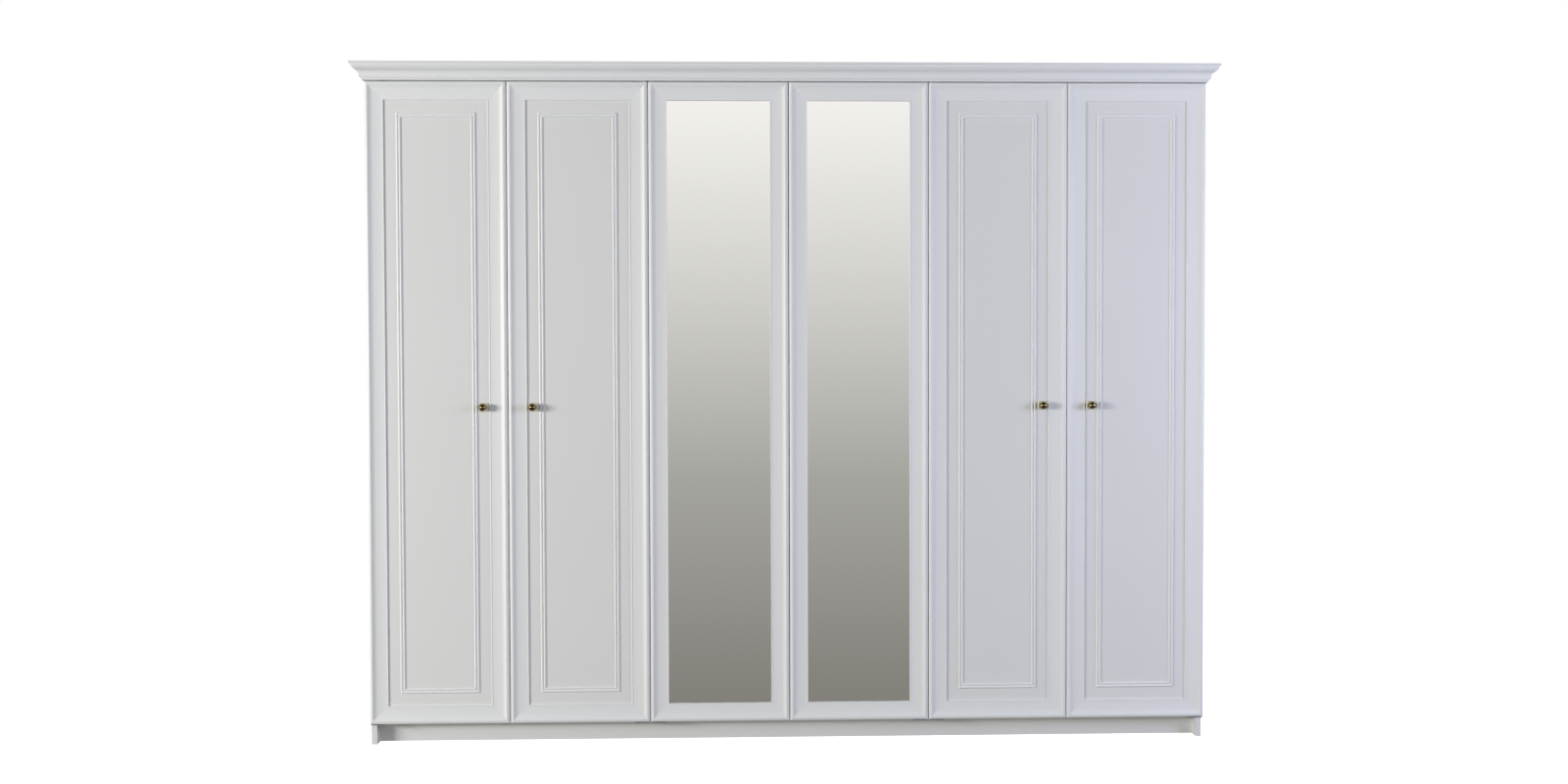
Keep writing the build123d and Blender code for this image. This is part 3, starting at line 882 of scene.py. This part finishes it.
class WARDROBE_OT_fittings(bpy.types.Operator):
    """Finishes the rails, hinge plates, pins, bolts, catches and wall brackets"""

    bl_idname = "wardrobe.fittings"
    bl_label = "Fittings"

    def execute(self, context):
        zinc = finish("zinc_plated_steel", zinc_plated_steel)
        chrome = finish("chromed_steel_tube", chromed_steel_tube)
        nylon = finish("moulded_nylon", moulded_nylon)
        arris = context.scene.wardrobe_sizes.fitting_arris
        for name in ("pivot_plates", "shelf_pins", "cabinet_bolts", "wall_brackets"):
            soften(paint(name, zinc), arris)
        for number in PANELLED_DOORS:
            soften(paint(f"door_{number}_strike", zinc), arris)
        for name in ("clothes_rails", "rail_sockets"):
            soften(paint(name, chrome), arris)
        soften(paint("catch_bodies", nylon), arris)
        for number in MIRROR_DOORS:
            soften(paint(f"door_{number}_latch_plunger", nylon), arris)
        return {"FINISHED"}


class WARDROBE_OT_screws(bpy.types.Operator):
    """Adds the countersunk screws in the hinge plates and the strikes"""

    bl_idname = "wardrobe.screws"
    bl_label = "Screws"

    def execute(self, context):
        zinc = finish("zinc_plated_steel", zinc_plated_steel)
        head = context.scene.wardrobe_sizes.screw_head
        proud = 0.05 * MM
        head_depth = 1.4 * MM
        plate_screws = bmesh.new()
        carcass_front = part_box("left_cabinet_top")[0].y
        top_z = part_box("left_cabinet_top")[1].z
        bottom_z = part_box("left_cabinet_bottom")[0].z
        from_door_edge, rows = 35 * MM, (12 * MM, 38 * MM)
        strike_screw_pitch, strike_screw_share = 26 * MM, 0.8
        for number in ALL_DOORS:
            low, high, _ = door_plane(number)
            screw_x = low[0] + from_door_edge if number % 2 else high[0] - from_door_edge
            for row in rows:
                for z, way in ((top_z, 1), (bottom_z, -1)):
                    place = (screw_x, carcass_front + row, z + way * proud)
                    cross_head_screw(plate_screws, place, (0, 0, way), head, head_depth)
        to_piece("hinge_plate_screws", plate_screws, zinc, "carcass")
        for number in PANELLED_DOORS:
            low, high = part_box(f"door_{number}_strike")
            centre = (low + high) / 2
            strike_screws = bmesh.new()
            for side in (-0.5, 0.5):
                place = (centre.x + side * strike_screw_pitch, high.y + proud, centre.z)
                cross_head_screw(strike_screws, place, (0, 1, 0), head * strike_screw_share, head_depth)
            to_piece(f"door_{number}_strike_screws", strike_screws, zinc, f"door_{number}")
        return {"FINISHED"}


class WARDROBE_OT_buffers(bpy.types.Operator):
    """Adds the felt buffers that the doors close on"""

    bl_idname = "wardrobe.buffers"
    bl_label = "Felt Buffers"

    def execute(self, context):
        felt = finish("pressed_felt", pressed_felt)
        radius = context.scene.wardrobe_sizes.buffer / 2
        thick, edge = 2.4 * MM, 0.5 * MM
        from_free_edge, from_end = 20 * MM, 8.5 * MM
        for number in ALL_DOORS:
            low, high, back_y = door_plane(number)
            x = high[0] - from_free_edge if number % 2 else low[0] + from_free_edge
            pads = bmesh.new()
            outline = [(0, 0), (radius, 0), (radius, thick - edge), (radius - edge, thick), (0, thick)]
            for z in (low[1] + from_end, high[1] - from_end):
                turned_form(pads, outline, (x, back_y, z), (0, 1, 0), 24)
            to_piece(f"door_{number}_felt_buffers", pads, felt, f"door_{number}")
        return {"FINISHED"}


class WARDROBE_OT_stage(bpy.types.Operator):
    """Lays the pale floor and sets up the studio light and the camera"""

    bl_idname = "wardrobe.stage"
    bl_label = "Stage"

    def execute(self, context):
        stage = context.scene.wardrobe_stage
        context.scene.view_settings.view_transform = "Standard"
        self.lay_floor()
        self.light_surroundings(context)
        key, fill, back = stage.key_power, stage.fill_power, stage.back_power
        self.add_light("key_from_left", (-6.4, -3.9, 1.55), (2.4, 0.7), key, (1.0, 1.0, 0.975))
        self.add_light("fill_from_right", (3.7, -2.1, 1.5), (1.4, 1.2), fill, (0.68, 0.72, 1.0))
        self.add_light("light_behind", (1.5, 4.5, 1.8), (1.5, 2.5), back, (1.0, 1.0, 1.0))
        camera_data = bpy.data.cameras.new("studio_camera")
        camera_data.lens = stage.camera_lens
        camera = bpy.data.objects.new("studio_camera", camera_data)
        front_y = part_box("door_1_frame")[0].y
        camera.location = (stage.camera_side, front_y - stage.camera_distance, stage.camera_height)
        camera.rotation_euler = (math.pi / 2 - stage.camera_drop, stage.camera_roll, -stage.camera_turn)
        context.scene.collection.objects.link(camera)
        context.scene.camera = camera
        return {"FINISHED"}

    def lay_floor(self):
        # Far enough out that its edge never shows.
        half = 40.0
        floor_mesh = bmesh.new()
        corners = [(-half, -half, 0), (half, -half, 0), (half, half, 0), (-half, half, 0)]
        floor_mesh.faces.new([floor_mesh.verts.new(corner) for corner in corners])
        mesh = bpy.data.meshes.new("studio_floor")
        floor_mesh.to_mesh(mesh)
        floor_mesh.free()
        # Painted cyclorama board: dry and white, glowing a little so that it meets the white beyond.
        material, _, _ = new_material(
            "painted_cyclorama",
            Base_Color=opaque(linear_colour("F2F2F2")),
            Roughness=0.9,
            Emission_Color=opaque(linear_colour("FFFFFF")),
            Emission_Strength=0.95,
        )
        mesh.materials.append(material)
        floor = bpy.data.objects.new("studio_floor", mesh)
        # The object is lit by the surroundings alone, so the floor's own white doesn't flood it.
        floor.visible_diffuse = False
        floor.visible_glossy = False
        floor.visible_shadow = False
        bpy.context.scene.collection.objects.link(floor)

    def light_surroundings(self, context):
        """White beyond the object, and for the light itself a soft rise from dim floor to bright top."""
        world = bpy.data.worlds.new("studio_surroundings")
        context.scene.world = world
        world.use_nodes = True
        tree = world.node_tree
        tree.nodes.clear()
        direction = add_node(tree, "ShaderNodeTexCoord")
        split = add_node(tree, "ShaderNodeSeparateXYZ", links={0: (direction, "Generated")})
        height = add_node(
            tree, "ShaderNodeMapRange", inputs={"From Min": -1.0}, links={"Value": (split, "Z")}
        )
        rise = add_node(tree, "ShaderNodeValToRGB", links={0: (height, 0)})
        # Dim below, an even rise past the horizon to a bright band, and a dim ceiling above it.
        levels = [
            (-60, "4C4844"),
            (-20, "6C6A66"),
            (-12, "8C8A86"),
            (-5, "A8A8A6"),
            (12, "FFFFFF"),
            (16, "C0C0C0"),
            (24, "707070"),
            (60, "505050"),
        ]
        ramp = rise.color_ramp
        while len(ramp.elements) < len(levels):
            ramp.elements.new(0.5)
        for element, (degrees, hex_colour) in zip(ramp.elements, levels):
            element.position = (math.sin(math.radians(degrees)) + 1) / 2
            element.color = opaque(linear_colour(hex_colour))
        soft = add_node(tree, "ShaderNodeBackground", inputs={"Strength": 1.0}, links={0: (rise, 0)})
        white = add_node(tree, "ShaderNodeBackground", inputs={0: (1, 1, 1, 1), "Strength": 1.0})
        rays = add_node(tree, "ShaderNodeLightPath")
        chosen = add_node(
            tree,
            "ShaderNodeMixShader",
            links={0: (rays, "Is Camera Ray"), 1: (soft, 0), 2: (white, 0)},
        )
        add_node(tree, "ShaderNodeOutputWorld", links={0: (chosen, 0)})

    def add_light(self, name, place, size, power, colour):
        """A soft box that faces the middle of the wardrobe."""
        data = bpy.data.lights.new(name, "AREA")
        data.shape = "RECTANGLE"
        data.size, data.size_y = size
        data.energy = power
        data.color = colour
        light = bpy.data.objects.new(name, data)
        light.location = place
        aim_height = 1.1
        aim = Vector((0.0, CAD_BOX[0].y, aim_height)) - Vector(place)
        light.rotation_euler = aim.to_track_quat("-Z", "Y").to_euler()
        bpy.context.scene.collection.objects.link(light)


class WARDROBE_PT_tools(bpy.types.Panel):
    """The wardrobe's steps, in the order that they're run"""

    bl_label = "Wardrobe"
    bl_idname = "WARDROBE_PT_tools"
    bl_space_type = "VIEW_3D"
    bl_region_type = "UI"
    bl_category = "Wardrobe"

    def draw(self, context):
        for operator in OPERATORS:
            self.layout.operator(operator.bl_idname)
        for group in ("wardrobe_sizes", "wardrobe_colours", "wardrobe_stage"):
            settings = getattr(context.scene, group)
            box = self.layout.box()
            for name in settings.__annotations__:
                box.prop(settings, name)


OPERATORS = (
    WARDROBE_OT_boards,
    WARDROBE_OT_backs,
    WARDROBE_OT_door_frames,
    WARDROBE_OT_door_panels,
    WARDROBE_OT_mirrors,
    WARDROBE_OT_cornice,
    WARDROBE_OT_knobs,
    WARDROBE_OT_fittings,
    WARDROBE_OT_screws,
    WARDROBE_OT_buffers,
    WARDROBE_OT_stage,
)
PROPERTY_GROUPS = (WardrobeColours, WardrobeSizes, WardrobeStage)
CLASSES = (*PROPERTY_GROUPS, *OPERATORS, WARDROBE_PT_tools)


def register():
    for cls in CLASSES:
        bpy.utils.register_class(cls)
    bpy.types.Scene.wardrobe_colours = bpy.props.PointerProperty(type=WardrobeColours)
    bpy.types.Scene.wardrobe_sizes = bpy.props.PointerProperty(type=WardrobeSizes)
    bpy.types.Scene.wardrobe_stage = bpy.props.PointerProperty(type=WardrobeStage)


def unregister():
    del bpy.types.Scene.wardrobe_stage
    del bpy.types.Scene.wardrobe_sizes
    del bpy.types.Scene.wardrobe_colours
    for cls in reversed(CLASSES):
        bpy.utils.unregister_class(cls)


def main():
    register()
    for operator in OPERATORS:
        group, name = operator.bl_idname.split(".")
        getattr(getattr(bpy.ops, group), name)()


if __name__ == "__main__":
    main()
